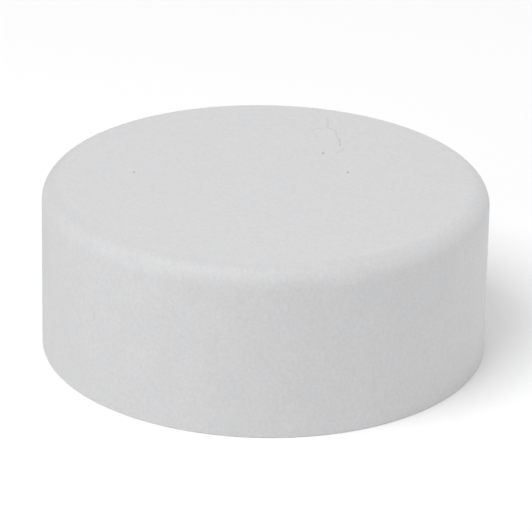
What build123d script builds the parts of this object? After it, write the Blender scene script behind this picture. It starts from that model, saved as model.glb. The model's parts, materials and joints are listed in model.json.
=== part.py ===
from build123d import *

import os

# Push-fit end cap for a 110 mm drainage pipe, in three pieces: a moulded shell, a rubber lip seal
# that lies in its mouth against the ends of the guide ribs, and a slotted ring that snaps in below
# the seal and keeps it there. All sizes are in millimetres.
#
# The origin is the centre of the mouth, in the plane of the rim that the cap stands on, and +Z runs
# along the axis to the closed end. Radii are measured from that axis.

# Driving dimensions: the pipe and what goes round it
PIPE_DIAMETER = 110.0
GUIDE_CLEARANCE = 0.45
SEAL_SPACE = 3.75
WALL = 3.0

# Shell
HEIGHT = 48.1
END_WALL = 3.2
DRAFT_ANGLE = 0.45
CROWN_FILLET = 5.3
RIM_FILLET = 0.3
RIM_CHAMFER = 0.4

# Guide ribs, each with a stop for the pipe's end
RIB_COUNT = 24
RIB_THICKNESS = 1.8
RIB_ROOT = 0.8
RIB_CORNER = 0.5
SEAT_HEIGHT = 18.0
RIB_LEAD_IN = 2.0
STOP_HEIGHT = 41.5
STOP_DEPTH = 3.0

# Marks that moulding leaves inside the closed end
GATE_RADIUS = 2.2
GATE_HEIGHT = 0.8
GATE_DRAFT = 20
EJECTOR_COUNT = 8
EJECTOR_CIRCLE = 40.0
EJECTOR_RADIUS = 3.0
EJECTOR_HEIGHT = 0.2

# Snap between the ring and the shell
SNAP_HEIGHT = 7.5
SNAP_WIDTH = 3.0
SNAP_DEPTH = 0.6
SNAP_GAP = 0.1

# Retaining ring
RING_BOTTOM = 0.6
RING_TOP = 10.0
RING_LEAD_IN = 1.8
RING_MOUTH_WALL = 2.0
RING_CHAMFER = 0.3
FINGER_COUNT = 12
SLOT_WIDTH = 2.4
SLOT_BOTTOM = 3.4
NOTCH_COUNT = 3
NOTCH_LENGTH = 7.0
NOTCH_DEPTH = 1.4
NOTCH_HEIGHT = 1.2

# Lip seal, with its lip pressed back as a pipe holds it
SEAL_GAP = 0.1
SEAL_BACK = 1.8
SEAL_BEAD = 0.3
SEAL_BEAD_COUNT = 3
LIP_CLEARANCE = 0.25
LIP_TIP = 0.8
LIP_LAND = 1.0
LIP_TIP_DROP = 1.1
LIP_ROOT = 1.3
LIP_GROOVE = 0.5
LIP_GROOVE_DEPTH = 5.1
RUBBER_FILLET = 0.2

# Sizes that follow
pipe_radius = PIPE_DIAMETER / 2
guide_radius = pipe_radius + GUIDE_CLEARANCE
chamber_radius = guide_radius + SEAL_SPACE
mouth_radius = chamber_radius + WALL
ceiling = HEIGHT - END_WALL
first_rib_angle = 180 / RIB_COUNT


def planes_around(plane, count):
    """Copies of an upright plane, evenly spaced about the cap's axis, from the first rib's angle."""
    return [plane.rotated((0, 0, first_rib_angle + 360 / count * i)) for i in range(count)]


def snap_outline(wall_radius, width):
    """Corners of the ridge, or the groove, that the snap makes on a wall of that radius."""
    half = width / 2
    return [
        (wall_radius - SNAP_DEPTH, SNAP_HEIGHT - half),
        (wall_radius, SNAP_HEIGHT - half),
        (wall_radius + SNAP_DEPTH, SNAP_HEIGHT - half + SNAP_DEPTH),
        (wall_radius + SNAP_DEPTH, SNAP_HEIGHT + half - SNAP_DEPTH),
        (wall_radius, SNAP_HEIGHT + half),
        (wall_radius - SNAP_DEPTH, SNAP_HEIGHT + half),
    ]


# Shell: a drafted cup with a rounded crown
with BuildPart() as cap_shell:
    with BuildSketch():
        Circle(mouth_radius)
    extrude(amount=HEIGHT, taper=DRAFT_ANGLE)
    fillet(cap_shell.edges().sort_by(Axis.Z)[-1], CROWN_FILLET)
    fillet(cap_shell.edges().sort_by(Axis.Z)[0], RIM_FILLET)

    # Seal chamber, and above it the hollow that the ribs stand in
    with BuildSketch():
        Circle(chamber_radius)
    extrude(amount=SEAT_HEIGHT, mode=Mode.SUBTRACT)
    with BuildSketch(Plane.XY.offset(SEAT_HEIGHT)):
        Circle(chamber_radius)
    extrude(amount=ceiling - SEAT_HEIGHT, taper=DRAFT_ANGLE, mode=Mode.SUBTRACT)
    inner_face = cap_shell.faces().filter_by(Plane.XY).sort_by(Axis.Z)[-2]
    fillet(inner_face.edges(), CROWN_FILLET - WALL)
    rim_face = cap_shell.faces().filter_by(Plane.XY).sort_by(Axis.Z)[0]
    chamfer(rim_face.edges().sort_by(SortBy.RADIUS)[0], RIM_CHAMFER)

    # Snap groove in the chamber's wall
    with BuildSketch(Plane.XZ):
        with BuildLine():
            Polyline(*snap_outline(chamber_radius, SNAP_WIDTH), close=True)
        make_face()
    revolve(axis=Axis.Z, mode=Mode.SUBTRACT)

    # Guide ribs with rounded corners, and on each a stop that reaches further in above the pipe's end
    for base, inner_end in ((SEAT_HEIGHT, guide_radius), (STOP_HEIGHT, guide_radius - STOP_DEPTH)):
        length = chamber_radius + RIB_ROOT - inner_end
        with BuildSketch(Plane.XY.offset(base)):
            with PolarLocations(inner_end + length / 2, RIB_COUNT, first_rib_angle):
                RectangleRounded(length, RIB_THICKNESS, RIB_CORNER)
        extrude(amount=ceiling + RIB_ROOT - base)

    # Bevel on the ribs' lower ends, which leads the pipe in
    bevel_radius = guide_radius + RIB_LEAD_IN / 2
    with BuildSketch(Plane.XZ):
        with BuildLine():
            Polyline(
                (bevel_radius - RIB_LEAD_IN, SEAT_HEIGHT),
                (bevel_radius, SEAT_HEIGHT),
                (bevel_radius - RIB_LEAD_IN, SEAT_HEIGHT + 2 * RIB_LEAD_IN),
                close=True,
            )
        make_face()
    revolve(axis=Axis.Z, mode=Mode.SUBTRACT)

    # Gate stub and ejector pads, which stand proud of the closed end's inner face
    with BuildSketch(Plane.XY.offset(ceiling)):
        Circle(GATE_RADIUS)
    extrude(amount=-GATE_HEIGHT, taper=GATE_DRAFT)
    with BuildSketch(Plane.XY.offset(ceiling)):
        with PolarLocations(EJECTOR_CIRCLE, EJECTOR_COUNT):
            Circle(EJECTOR_RADIUS)
    extrude(amount=-EJECTOR_HEIGHT)

# Retaining ring: bevelled at the mouth to lead the pipe in
ring_outer = chamber_radius - SNAP_GAP
with BuildPart() as retaining_ring:
    with BuildSketch(Plane.XZ):
        with BuildLine():
            Polyline(
                (ring_outer - RING_MOUTH_WALL, RING_BOTTOM),
                (ring_outer - RING_CHAMFER, RING_BOTTOM),
                (ring_outer, RING_BOTTOM + RING_CHAMFER),
                (ring_outer, RING_TOP - RING_CHAMFER),
                (ring_outer - RING_CHAMFER, RING_TOP),
                (guide_radius, RING_TOP),
                (guide_radius, RING_BOTTOM + RING_LEAD_IN),
                close=True,
            )
        make_face()
        with BuildLine():
            Polyline(*snap_outline(ring_outer, SNAP_WIDTH - 2 * SNAP_GAP), close=True)
        make_face()
    revolve(axis=Axis.Z)

    # Round-ended slots, in line with ribs, that part the ring's upper edge into springy fingers
    with BuildSketch(*planes_around(Plane.YZ, FINGER_COUNT)):
        with Locations((0, SLOT_BOTTOM + SLOT_WIDTH / 2)):
            Circle(SLOT_WIDTH / 2)
            Rectangle(SLOT_WIDTH, RING_TOP, align=(Align.CENTER, Align.MIN))
    extrude(amount=mouth_radius, mode=Mode.SUBTRACT)

    # Notches beside the shell's rim, for the blade that prises the ring out
    with BuildSketch(Plane.XY.offset(RING_BOTTOM)):
        with PolarLocations(ring_outer, NOTCH_COUNT, first_rib_angle + 180 / FINGER_COUNT):
            Rectangle(2 * NOTCH_DEPTH, NOTCH_LENGTH)
    extrude(amount=NOTCH_HEIGHT, mode=Mode.SUBTRACT)

# Lip seal: a beaded back against the chamber's wall and a lip that slants in towards the closed end
seal_bottom = RING_TOP + SEAL_GAP
seal_top = SEAT_HEIGHT - SEAL_GAP
back_outer = chamber_radius - SEAL_GAP / 2 - SEAL_BEAD
back_inner = back_outer - SEAL_BACK
lip_radius = pipe_radius + LIP_CLEARANCE
lip_top = seal_top - LIP_TIP_DROP
bead_pitch = (seal_top - seal_bottom) / SEAL_BEAD_COUNT
with BuildPart() as lip_seal:
    with BuildSketch(Plane.XZ):
        with BuildLine():
            Polyline(
                (back_outer, seal_bottom),
                (back_outer, seal_top),
                (back_inner, seal_top),
                (back_inner, seal_top - LIP_GROOVE_DEPTH),
                (back_inner - LIP_GROOVE, seal_top - LIP_GROOVE_DEPTH),
                (lip_radius + LIP_TIP, lip_top),
                (lip_radius, lip_top),
                (lip_radius, lip_top - LIP_LAND),
                (lip_radius + LIP_ROOT, seal_bottom),
                close=True,
            )
        make_face()
        fillet(vertices(), RUBBER_FILLET)
        for i in range(SEAL_BEAD_COUNT):
            with Locations((back_outer, seal_bottom + bead_pitch * (i + 0.5))):
                Circle(SEAL_BEAD)
    revolve(axis=Axis.Z)

# Export
os.makedirs("parts", exist_ok=True)
cap_shell.part.label = "cap_shell"
retaining_ring.part.label = "retaining_ring"
lip_seal.part.label = "lip_seal"
for piece in (cap_shell, retaining_ring, lip_seal):
    export_step(piece.part, f"parts/{piece.part.label}.step")
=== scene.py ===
import json
import math

import bmesh
import bpy
from mathutils import Matrix, Vector


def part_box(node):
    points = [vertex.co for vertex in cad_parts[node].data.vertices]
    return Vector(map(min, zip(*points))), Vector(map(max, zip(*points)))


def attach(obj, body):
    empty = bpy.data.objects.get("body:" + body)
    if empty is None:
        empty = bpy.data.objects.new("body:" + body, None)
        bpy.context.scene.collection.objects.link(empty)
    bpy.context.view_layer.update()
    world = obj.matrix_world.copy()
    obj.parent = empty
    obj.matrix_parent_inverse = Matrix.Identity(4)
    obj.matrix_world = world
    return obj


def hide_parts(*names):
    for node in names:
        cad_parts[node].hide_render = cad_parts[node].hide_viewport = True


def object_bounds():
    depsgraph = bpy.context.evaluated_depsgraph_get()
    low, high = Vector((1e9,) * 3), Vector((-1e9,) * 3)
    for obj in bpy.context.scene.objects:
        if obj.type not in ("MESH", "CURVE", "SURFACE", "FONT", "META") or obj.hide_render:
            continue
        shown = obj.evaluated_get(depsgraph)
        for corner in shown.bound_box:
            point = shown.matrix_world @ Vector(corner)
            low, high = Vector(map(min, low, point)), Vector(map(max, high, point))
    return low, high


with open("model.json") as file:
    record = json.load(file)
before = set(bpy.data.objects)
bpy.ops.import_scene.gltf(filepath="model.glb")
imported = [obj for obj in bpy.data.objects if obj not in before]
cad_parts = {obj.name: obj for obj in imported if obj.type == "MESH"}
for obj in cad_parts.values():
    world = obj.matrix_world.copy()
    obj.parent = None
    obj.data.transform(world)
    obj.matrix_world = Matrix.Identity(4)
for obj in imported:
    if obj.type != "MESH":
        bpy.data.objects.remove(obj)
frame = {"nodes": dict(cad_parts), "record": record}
cad_low, cad_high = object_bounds()

# A pipe cap stands on its mouth. Its shell and its retaining ring are CAD nodes with new materials.
# The rubber seal is drawn here with its lip at rest, as it is before a pipe goes in. The origin is
# the centre of the mouth and +Z points to the closed end. Lengths are in metres, as MM says.
MM = 0.001
ROOT = "root"

shell_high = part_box("cap_shell")[1]
seal_low, seal_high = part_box("lip_seal")
pipe_socket = next(mount for mount in frame["record"]["mounts"] if mount["name"] == "pipe_socket")

MOUTH_RADIUS = shell_high.x
HEIGHT = shell_high.z
GUIDE_RADIUS = pipe_socket["dims"]["r_mm"] * MM


# ---------------------------------------------------------------- material graphs

class Graph:
    """A material's nodes, with one short call for each kind that the materials here use."""

    def __init__(self, name):
        self.material = bpy.data.materials.new(name)
        self.material.use_nodes = True
        self.tree = self.material.node_tree
        self.tree.nodes.clear()
        self.shader = self.add("BsdfPrincipled")
        output = self.add("OutputMaterial")
        self.link(self.shader.outputs["BSDF"], output.inputs["Surface"])
        self.position = self.add("TexCoord").outputs["Object"]

    def add(self, kind, **settings):
        node = self.tree.nodes.new("ShaderNode" + kind)
        for name, value in settings.items():
            setattr(node, name, value)
        return node

    def link(self, source, target):
        self.tree.links.new(source, target)

    def feed(self, socket, value):
        """Links an output, or sets a plain value."""
        if isinstance(value, bpy.types.NodeSocket):
            self.link(value, socket)
        else:
            socket.default_value = value

    def math(self, operation, *values, clamp=False):
        node = self.add("Math", operation=operation, use_clamp=clamp)
        for socket, value in zip(node.inputs, values):
            self.feed(socket, value)
        return node.outputs["Value"]

    def vector(self, operation, *values):
        node = self.add("VectorMath", operation=operation)
        for socket, value in zip(node.inputs, values):
            self.feed(socket, value)
        scalar = operation in ("DISTANCE", "DOT_PRODUCT", "LENGTH")
        return node.outputs["Value" if scalar else "Vector"]

    def texture(self, kind, size, **inputs):
        """A texture node over the object's own coordinates, whose cells are about size across."""
        node = self.add(kind)
        self.link(self.position, node.inputs["Vector"])
        node.inputs["Scale"].default_value = 1 / size
        for name, value in inputs.items():
            node.inputs[name].default_value = value
        return node

    def noise(self, size, detail=2.0, roughness=0.5, distortion=0.0):
        """Noise from 0 to 1."""
        node = self.texture("TexNoise", size, Detail=detail, Roughness=roughness, Distortion=distortion)
        return node.outputs["Fac"]

    def wander(self, size, amount):
        """The position, pushed about by noise of that size, by up to about half of amount."""
        colour = self.texture("TexNoise", size).outputs["Color"]
        centred = self.vector("SUBTRACT", colour, (0.5, 0.5, 0.5))
        push = self.vector("MULTIPLY", centred, (amount, amount, amount))
        return self.vector("ADD", self.position, push)

    def line_distance(self, point, start, end):
        """Distance from the point to the straight line between start and end."""
        along = end - start
        offset = self.vector("SUBTRACT", point, start)
        share = self.vector("DOT_PRODUCT", offset, along / along.length_squared)
        share = self.math("ADD", share, 0.0, clamp=True)
        return self.vector("DISTANCE", offset, self.vector("MULTIPLY", along, share))

    def least(self, values):
        """The smallest of some outputs."""
        smallest = values[0]
        for value in values[1:]:
            smallest = self.math("MINIMUM", smallest, value)
        return smallest

    def scattered_dots(self, spacing, radius, share):
        """1 in dots of that radius, in a share of the cells of a random foam of that spacing."""
        node = self.texture("TexVoronoi", spacing)
        edge = radius / spacing
        dot = self.ramp(node.outputs["Distance"], 0.5 * edge, edge, 1.0, 0.0)
        chosen = self.math("LESS_THAN", node.outputs["Color"], share)
        return self.math("MULTIPLY", dot, chosen)

    def ramp(self, value, low, high, from_value=0.0, to_value=1.0, smooth=True):
        """Goes from from_value to to_value as value goes from low to high."""
        node = self.add("MapRange", clamp=True, interpolation_type="SMOOTHSTEP" if smooth else "LINEAR")
        self.feed(node.inputs["Value"], value)
        node.inputs["From Min"].default_value = low
        node.inputs["From Max"].default_value = high
        node.inputs["To Min"].default_value = from_value
        node.inputs["To Max"].default_value = to_value
        return node.outputs["Result"]

    def mix(self, factor, first, second):
        """Colour mix. The node has several sockets of each name, so its colour ones go by number."""
        node = self.add("Mix", data_type="RGBA", clamp_factor=True)
        self.feed(node.inputs[0], factor)
        self.feed(node.inputs[6], first)
        self.feed(node.inputs[7], second)
        return node.outputs[2]

    def bump(self, height, distance, normal=None):
        node = self.add("Bump")
        node.inputs["Distance"].default_value = distance
        self.link(height, node.inputs["Height"])
        if normal is not None:
            self.link(normal, node.inputs["Normal"])
        return node.outputs["Normal"]

    def set(self, **values):
        """Sets or links the shader's own sockets, named with underscores for spaces."""
        for name, value in values.items():
            self.feed(self.shader.inputs[name.replace("_", " ")], value)


def grey(level, blue=0.0):
    return (level, level, level + blue, 1.0)


# ---------------------------------------------------------------- shell

PVC_DARK = grey(0.564, 0.003)
PVC_LIGHT = grey(0.666, 0.003)
GRAIN_SHARE = 0.85
COOL_TINT = (0.982, 1.003, 1.018, 1)
WARM_TINT = (1.018, 0.997, 0.982, 1)
DIRT = (0.18, 0.175, 0.17, 1)
DIRT_COVER = 0.24

# Faint scratches on the closed end and three specks, in millimetres from the axis
SCRATCHES = (
    ((13.0, 37.3), (14.0, 39.4), (17.4, 40.4), (19.8, 37.4), (19.9, 33.4), (20.7, 32.0), (20.9, 26.0)),
    ((17.4, 40.4), (17.4, 48.0)),
    ((22.2, 25.4), (21.4, 23.0), (19.8, 21.2)),
)
SCRATCH_WIDTH = 0.7 * MM
SPECKS = ((15.9, 20.5), (22.7, 6.5), (-36.6, 3.7))
SPECK_SIZE = (0.5 * MM, 0.9 * MM, 0.5 * MM)

# A nick in the side, by its angle about the axis and the heights of its ends
NICK_ANGLE = math.radians(-136.7)
NICK_HEIGHTS = (24.2 * MM, 26.8 * MM)
SIDE_DRAFT = math.radians(0.45)

# Dust, which shows less than a scratch does
DUST_SPACING = 7 * MM
DUST_RADIUS = 0.35 * MM
DUST_SHARE = 0.4
DUST_LEVEL = 0.6


def on_closed_end(place):
    return Vector((place[0] * MM, place[1] * MM, HEIGHT))


def on_side(angle, height):
    radius = MOUTH_RADIUS - height * math.tan(SIDE_DRAFT)
    return Vector((radius * math.cos(angle), radius * math.sin(angle), height))


def shell_lines():
    """Both ends of each straight run of the nick and the scratches."""
    lines = [tuple(on_side(NICK_ANGLE, height) for height in NICK_HEIGHTS)]
    for scratch in SCRATCHES:
        ends = [on_closed_end(place) for place in scratch]
        lines += zip(ends, ends[1:])
    return lines


def shell_marks(graph):
    """How dirty the shell is: 0 where it is clean, up to 1 on a line and 2 in the middle of a speck."""
    point = graph.wander(1.2 * MM, 0.5 * MM)
    to_line = graph.least([graph.line_distance(point, start, end) for start, end in shell_lines()])
    line = graph.ramp(to_line, 0.1 * SCRATCH_WIDTH, 0.6 * SCRATCH_WIDTH, 1.0, 0.0)
    worn = graph.ramp(graph.noise(2.2 * MM, detail=1.0), 0.35, 0.6, 0.35, 1.0)
    scratch = graph.math("MULTIPLY", worn, line)

    offsets = [graph.vector("SUBTRACT", point, on_closed_end(place)) for place in SPECKS]
    scaled = [graph.vector("DIVIDE", offset, SPECK_SIZE) for offset in offsets]
    to_speck = graph.least([graph.vector("LENGTH", offset) for offset in scaled])
    speck = graph.ramp(to_speck, 0.4, 1.0, 2.0, 0.0)

    dots = graph.scattered_dots(DUST_SPACING, DUST_RADIUS, DUST_SHARE)
    dust = graph.math("MULTIPLY", dots, DUST_LEVEL)
    return graph.math("MAXIMUM", graph.math("MAXIMUM", scratch, speck), dust)


def shell_plastic():
    graph = Graph("white_pvc")
    grain = graph.noise(0.9 * MM, detail=3.0, roughness=0.7)
    blotch = graph.noise(9 * MM, detail=3.0, roughness=0.6)
    fine_tone = graph.ramp(grain, 0.2, 0.8, 0.0, GRAIN_SHARE, smooth=False)
    broad_tone = graph.ramp(blotch, 0.25, 0.75, 0.0, 1 - GRAIN_SHARE)
    tone = graph.math("ADD", fine_tone, broad_tone)
    tint = graph.mix(graph.noise(2.5 * MM, detail=3.0), COOL_TINT, WARM_TINT)
    clean = graph.vector("MULTIPLY", graph.mix(tone, PVC_DARK, PVC_LIGHT), tint)
    dirt_cover = graph.math("MULTIPLY", shell_marks(graph), DIRT_COVER)

    texture = graph.noise(0.4 * MM, detail=2.0)
    wave = graph.noise(2.5 * MM, detail=2.0)
    graph.set(
        Base_Color=graph.mix(dirt_cover, clean, DIRT),
        Roughness=graph.ramp(blotch, 0.2, 0.8, 0.56, 0.64),
        Normal=graph.bump(texture, 0.006 * MM, graph.bump(wave, 0.004 * MM)),
        IOR=1.53,
        Specular_IOR_Level=0.4,
    )
    return graph.material


# ---------------------------------------------------------------- ring, seal and floor materials

def ring_plastic():
    graph = Graph("grey_polypropylene")
    grain = graph.noise(0.6 * MM, detail=3.0)
    flow = graph.noise(8 * MM, detail=3.0, distortion=0.6)
    graph.set(
        Base_Color=graph.mix(flow, grey(0.50, 0.008), grey(0.54, 0.008)),
        Roughness=graph.ramp(grain, 0.2, 0.8, 0.34, 0.44),
        Normal=graph.bump(grain, 0.005 * MM),
        IOR=1.49,
    )
    return graph.material


def seal_rubber():
    graph = Graph("black_epdm")
    grain = graph.noise(0.35 * MM, detail=4.0, roughness=0.65)
    bloom = graph.noise(6 * MM, detail=4.0, roughness=0.6)
    graph.set(
        Base_Color=graph.mix(graph.ramp(bloom, 0.45, 0.75), grey(0.016), grey(0.034, 0.002)),
        Roughness=graph.ramp(bloom, 0.3, 0.7, 0.42, 0.62),
        Normal=graph.bump(grain, 0.008 * MM),
        IOR=1.5,
    )
    return graph.material


def floor_paint():
    graph = Graph("studio_white")
    fibre = graph.noise(3 * MM, detail=3.0)
    graph.set(
        Base_Color=graph.mix(fibre, grey(0.965), grey(0.98)),
        Roughness=0.9,
        Specular_IOR_Level=0.1,
    )
    return graph.material


# ---------------------------------------------------------------- rubber seal

LATHE_STEPS = 192
CORNER_STEPS = 5

# The seal's section, in millimetres
SEAL_BACK = 1.8
BEAD_COUNT = 3
BEAD_DEPTH = 0.3
BEAD_FOOT = 0.55
BEAD_TOP = 0.15
LIP_REACH = 1.45
LIP_GROOVE = 0.6
LIP_GROOVE_DEPTH = 5.0


def rounded(corners):
    """Outline of a polygon given as (radius, height, rounding), with each corner made a curve."""
    points = []
    for i, (radius, height, rounding) in enumerate(corners):
        corner = Vector((radius, height))
        before = (Vector(corners[i - 1][:2]) - corner).normalized()
        after = (Vector(corners[(i + 1) % len(corners)][:2]) - corner).normalized()
        half_angle = before.angle(after) / 2
        start = corner + before * rounding / math.tan(half_angle)
        end = corner + after * rounding / math.tan(half_angle)
        for step in range(CORNER_STEPS + 1):
            t = step / CORNER_STEPS
            points.append((1 - t) ** 2 * start + 2 * t * (1 - t) * corner + t ** 2 * end)
    return points


def lathe(name, outline):
    """Ring with that closed (radius, height) outline, in millimetres."""
    form = bmesh.new()
    rings = []
    for step in range(LATHE_STEPS):
        angle = 2 * math.pi * step / LATHE_STEPS
        across = Vector((math.cos(angle), math.sin(angle), 0))
        rings.append([form.verts.new((across * p.x + Vector((0, 0, p.y))) * MM) for p in outline])
    for step, ring in enumerate(rings):
        following = rings[(step + 1) % LATHE_STEPS]
        for i in range(len(outline)):
            j = (i + 1) % len(outline)
            form.faces.new((ring[i], following[i], following[j], ring[j]))
    bmesh.ops.recalc_face_normals(form, faces=form.faces)
    mesh = bpy.data.meshes.new(name)
    form.to_mesh(mesh)
    form.free()
    mesh.shade_smooth()
    piece = bpy.data.objects.new(name, mesh)
    bpy.context.collection.objects.link(piece)
    return piece


def seal_outline():
    """Beads up the back, then over the top and down the lip, which slants in to its tip."""
    bottom = seal_low.z / MM
    top = seal_high.z / MM
    outer = seal_high.x / MM - BEAD_DEPTH
    inner = outer - SEAL_BACK
    tip = GUIDE_RADIUS / MM - LIP_REACH
    corners = [(outer, bottom, 0.35)]
    for bead in range(BEAD_COUNT):
        middle = bottom + (top - bottom) * (bead + 0.5) / BEAD_COUNT
        corners += [
            (outer, middle - BEAD_FOOT, 0.2),
            (outer + BEAD_DEPTH, middle - BEAD_TOP, 0.15),
            (outer + BEAD_DEPTH, middle + BEAD_TOP, 0.15),
            (outer, middle + BEAD_FOOT, 0.2),
        ]
    corners += [
        (outer, top, 0.35),
        (inner, top, 0.45),
        (inner, top - LIP_GROOVE_DEPTH, 0.25),
        (inner - LIP_GROOVE, top - LIP_GROOVE_DEPTH - 0.1, 0.25),
        (tip + 0.85, top - 1.6, 0.3),
        (tip, top - 1.9, 0.3),
        (tip + 0.15, top - 3.0, 0.8),
        (inner - 0.55, bottom, 0.4),
    ]
    return rounded(corners)


def free_seal():
    seal = lathe("lip_seal_at_rest", seal_outline())
    seal.data.materials.append(seal_rubber())
    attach(seal, ROOT)
    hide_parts("lip_seal")


# ---------------------------------------------------------------- studio

# Seen from the camera, it aims this far to the right of, and above, the middle of the cap.
CAMERA_AIM = (0.41 * MM, -1.85 * MM)
CAMERA_DISTANCE = 837.8 * MM
CAMERA_ELEVATION = math.radians(23.98)
CAMERA_ROLL = math.radians(1.07)

# Both in millimetres, as a camera has them
CAMERA_LENS = 203
CAMERA_SENSOR = 36

# Square lights that face the cap: name, azimuth and elevation as seen from it, side in metres, radiance
BOX_DISTANCE = 1.6
SOFT_BOXES = (
    ("key", -135, 60, 1.0, 4.9),
    ("left_fill", -135, 20, 0.8, 0.84),
    ("right_fill", 0, 20, 0.8, 2.08),
    ("right_rim", 45, 20, 0.8, 1.31),
    ("back_rim", 90, 20, 0.8, 1.42),
)
SKY_COLOUR = grey(1.0, 0.015)
SKY_STRENGTH = 0.45
FLOOR_HALF = 20.0


def direction(azimuth, elevation):
    turn = math.radians(azimuth)
    rise = math.radians(elevation)
    return Vector((math.cos(turn) * math.cos(rise), math.sin(turn) * math.cos(rise), math.sin(rise)))


def soft_box(name, azimuth, elevation, side, radiance):
    light = bpy.data.lights.new(name, "AREA")
    light.shape = "SQUARE"
    light.size = side
    light.energy = radiance * math.pi * side ** 2
    lamp = bpy.data.objects.new(name, light)
    towards = direction(azimuth, elevation)
    lamp.location = towards * BOX_DISTANCE
    lamp.rotation_euler = towards.to_track_quat("Z", "Y").to_euler()
    bpy.context.collection.objects.link(lamp)


def studio_floor():
    sides = ((-1, -1), (1, -1), (1, 1), (-1, 1))
    corners = [(x * FLOOR_HALF, y * FLOOR_HALF, cad_low.z) for x, y in sides]
    mesh = bpy.data.meshes.new("studio_floor")
    mesh.from_pydata(corners, [], [(0, 1, 2, 3)])
    mesh.materials.append(floor_paint())
    floor = bpy.data.objects.new("studio_floor", mesh)
    bpy.context.collection.objects.link(floor)


def sky():
    world = bpy.data.worlds.new("studio")
    world.use_nodes = True
    background = world.node_tree.nodes["Background"]
    background.inputs["Color"].default_value = SKY_COLOUR
    background.inputs["Strength"].default_value = SKY_STRENGTH
    bpy.context.scene.world = world


def camera():
    data = bpy.data.cameras.new("camera")
    data.sensor_width = CAMERA_SENSOR
    data.lens = CAMERA_LENS
    data.clip_start = 10 * MM
    back = Vector((0, -math.cos(CAMERA_ELEVATION), math.sin(CAMERA_ELEVATION)))
    right = Vector((1, 0, 0))
    up = back.cross(right)
    aim = Vector((0, 0, HEIGHT / 2)) + right * CAMERA_AIM[0] + up * CAMERA_AIM[1]
    axes = Matrix((right, up, back)).transposed() @ Matrix.Rotation(CAMERA_ROLL, 3, "Z")
    eye = bpy.data.objects.new("camera", data)
    eye.matrix_world = Matrix.Translation(aim + back * CAMERA_DISTANCE) @ axes.to_4x4()
    bpy.context.collection.objects.link(eye)
    bpy.context.scene.camera = eye


def paint(node, material):
    """Gives a CAD node its material in every slot."""
    for slot in frame["nodes"][node].material_slots:
        slot.material = material


camera()
studio_floor()
sky()
for box in SOFT_BOXES:
    soft_box(*box)
bpy.context.scene.view_settings.view_transform = "Standard"

paint("cap_shell", shell_plastic())
paint("retaining_ring", ring_plastic())
free_seal()
